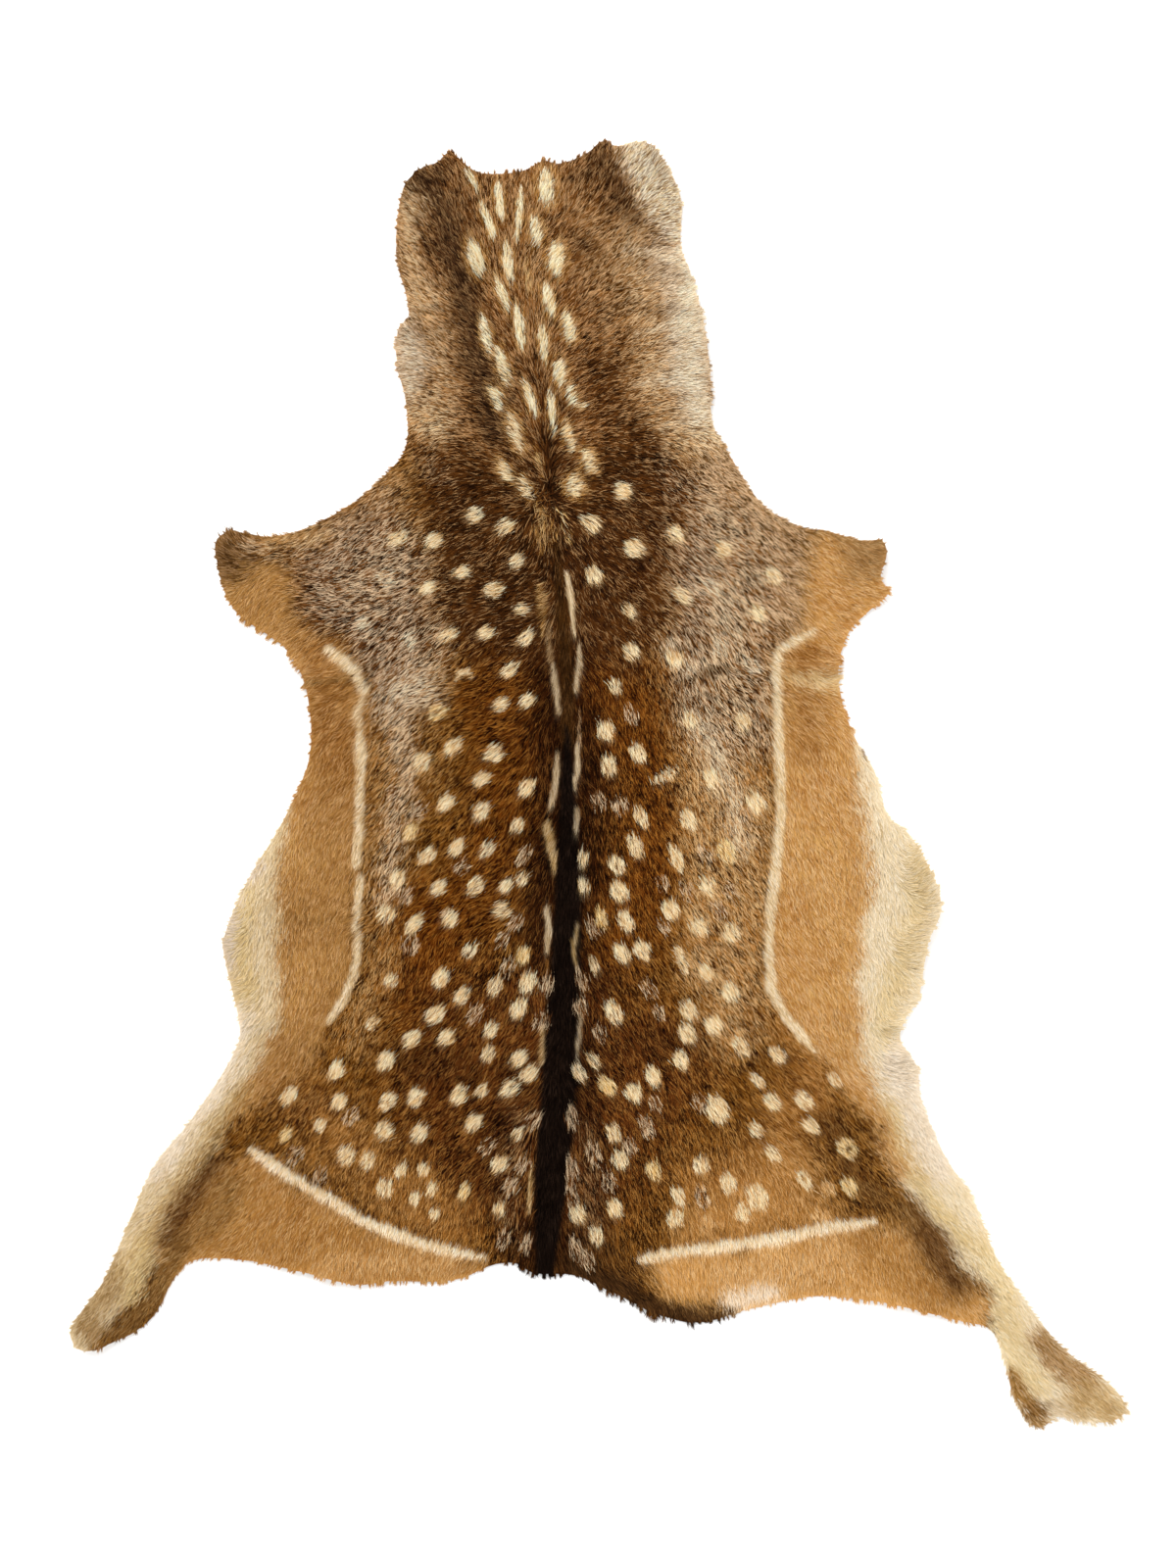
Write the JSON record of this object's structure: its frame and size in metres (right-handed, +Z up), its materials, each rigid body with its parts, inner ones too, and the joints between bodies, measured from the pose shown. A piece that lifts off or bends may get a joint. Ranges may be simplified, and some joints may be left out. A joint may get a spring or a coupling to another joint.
{
  "type": "deer hide",
  "caption": "Spotted deer hide tanned with the hair on, laid flat with the hair side up: neck, forelegs, flanks, haunches and hind legs in one piece.",
  "frame": {"origin": "middle of the hide's extent across and along, on the plane it lies on", "axes": "+Y from the hind legs towards the neck, +Z up out of the hair side, +X to the right seen from above"},
  "size_m": [0.965, 1.179, 0.0198],
  "materials": {
    "coat": "short deer hair, brown with cream spots, matt with a slight sheen along the hair"
  },
  "bodies": {
    "root": {"hide": "coat"}
  },
  "joints": []
}
